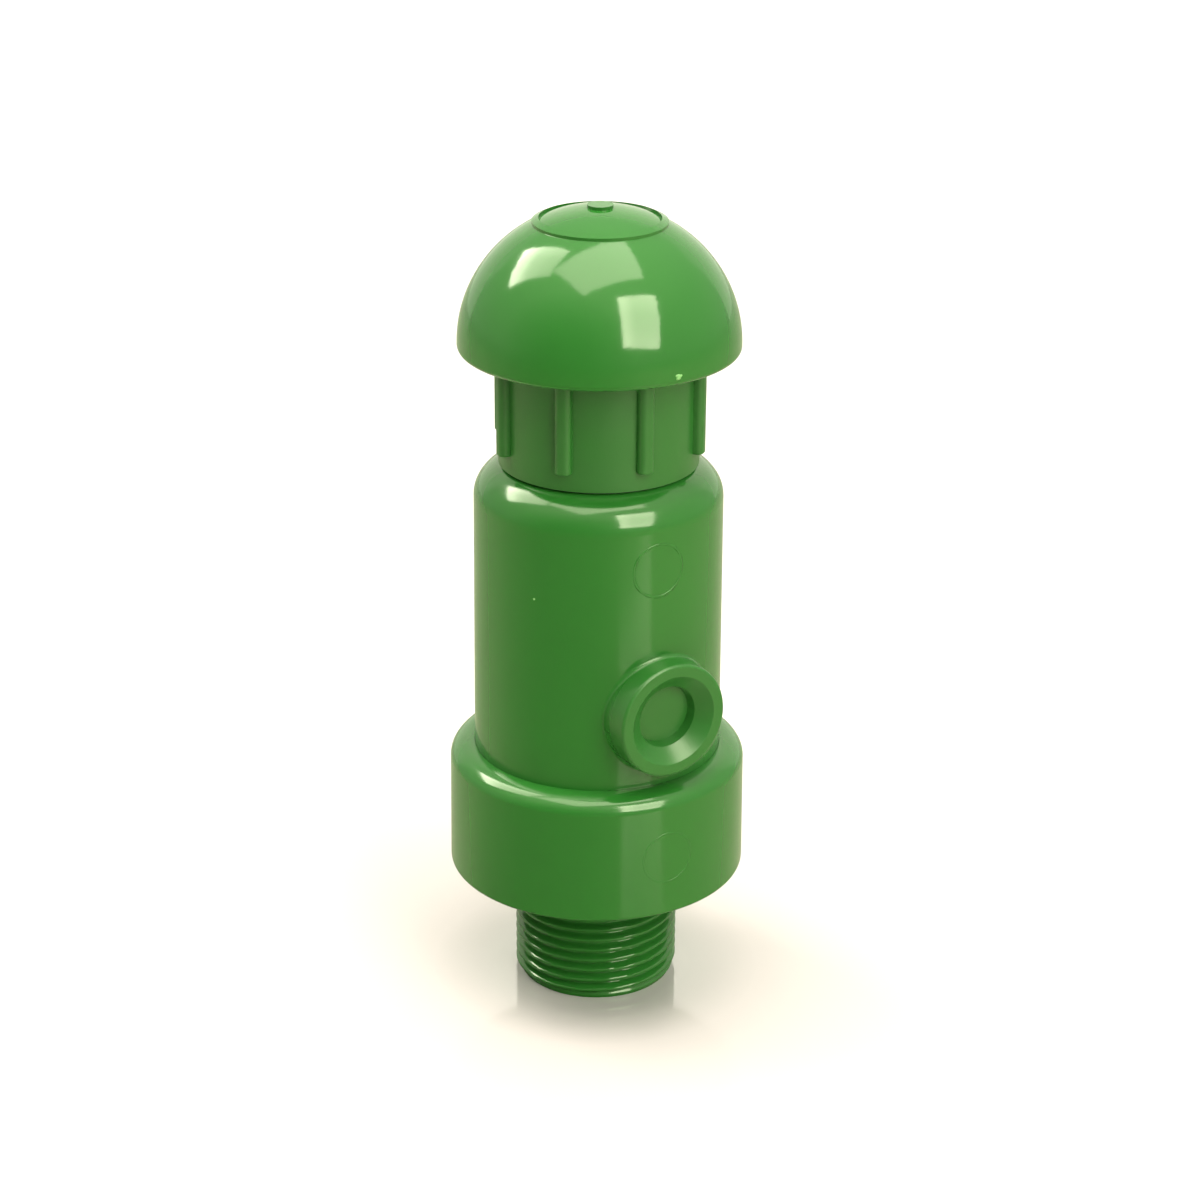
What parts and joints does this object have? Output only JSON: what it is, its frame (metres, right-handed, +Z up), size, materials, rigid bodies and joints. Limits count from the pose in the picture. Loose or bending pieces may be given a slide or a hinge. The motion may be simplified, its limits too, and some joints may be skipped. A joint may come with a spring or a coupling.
{
  "type": "air release valve",
  "caption": "Double-acting plastic air release valve with threaded inlet, smooth base ring, ribbed screw collar and half-ball rain hood.",
  "frame": {"origin": "centre of the end face of the inlet thread, the bottom of the valve", "axes": "+Z up the valve's axis from the inlet to the hood, -Y the side that the blind side port faces, +X to the right of the port"},
  "size_m": [0.0598, 0.0598, 0.1627],
  "materials": {
    "green_gloss": "moulded, glossy",
    "green_satin": "moulded, satin",
    "white_plastic": "moulded, satin",
    "float_plastic": "blown, satin",
    "black_plastic": "moulded, matt",
    "brass": "turned",
    "spring_steel": "stamped",
    "black_rubber": "moulded"
  },
  "bodies": {
    "housing": {"inlet_base": "green_gloss", "inlet_strainer": "white_plastic", "base_o_ring": "black_rubber", "valve_body": "green_gloss", "float_cage": "white_plastic"},
    "seal_washer": {"bonnet_gasket": "black_rubber"},
    "collar": {"bonnet": "green_satin", "seat_ring": "white_plastic", "insect_screen": "black_plastic", "dome_cap": "green_gloss", "dome_clip": "spring_steel"},
    "plug": {"orifice_plug": "white_plastic", "plug_seal": "black_rubber", "seal_clamp_ring": "white_plastic", "small_orifice_nozzle": "brass", "nozzle_o_ring": "black_rubber"},
    "float": {"float_lower_shell": "float_plastic", "float_upper_shell": "float_plastic", "nozzle_button": "black_rubber", "button_retainer": "white_plastic"}
  },
  "joints": [
    {"name": "plug_lift", "type": "slide", "parent": "housing", "child": "plug", "axis": [0, 0, 1], "range_m": [0, 0.012]},
    {"name": "float_lift", "type": "slide", "parent": "plug", "child": "float", "axis": [0, 0, 1], "range_m": [0, 0.0025]},
    {"name": "collar_rise", "type": "slide", "parent": "housing", "child": "seal_washer", "axis": [0, 0, 1], "range_m": [0, 0.012]},
    {"name": "collar_turn", "type": "hinge", "parent": "seal_washer", "child": "collar", "pos_m": [0, 0, 0.12], "axis": [0, 0, 1], "range_deg": [0, 1440]}
  ],
  "couplings": [
    {"joint": "collar_rise", "follows": "collar_turn", "m_per_rad": 0.00047746}
  ]
}
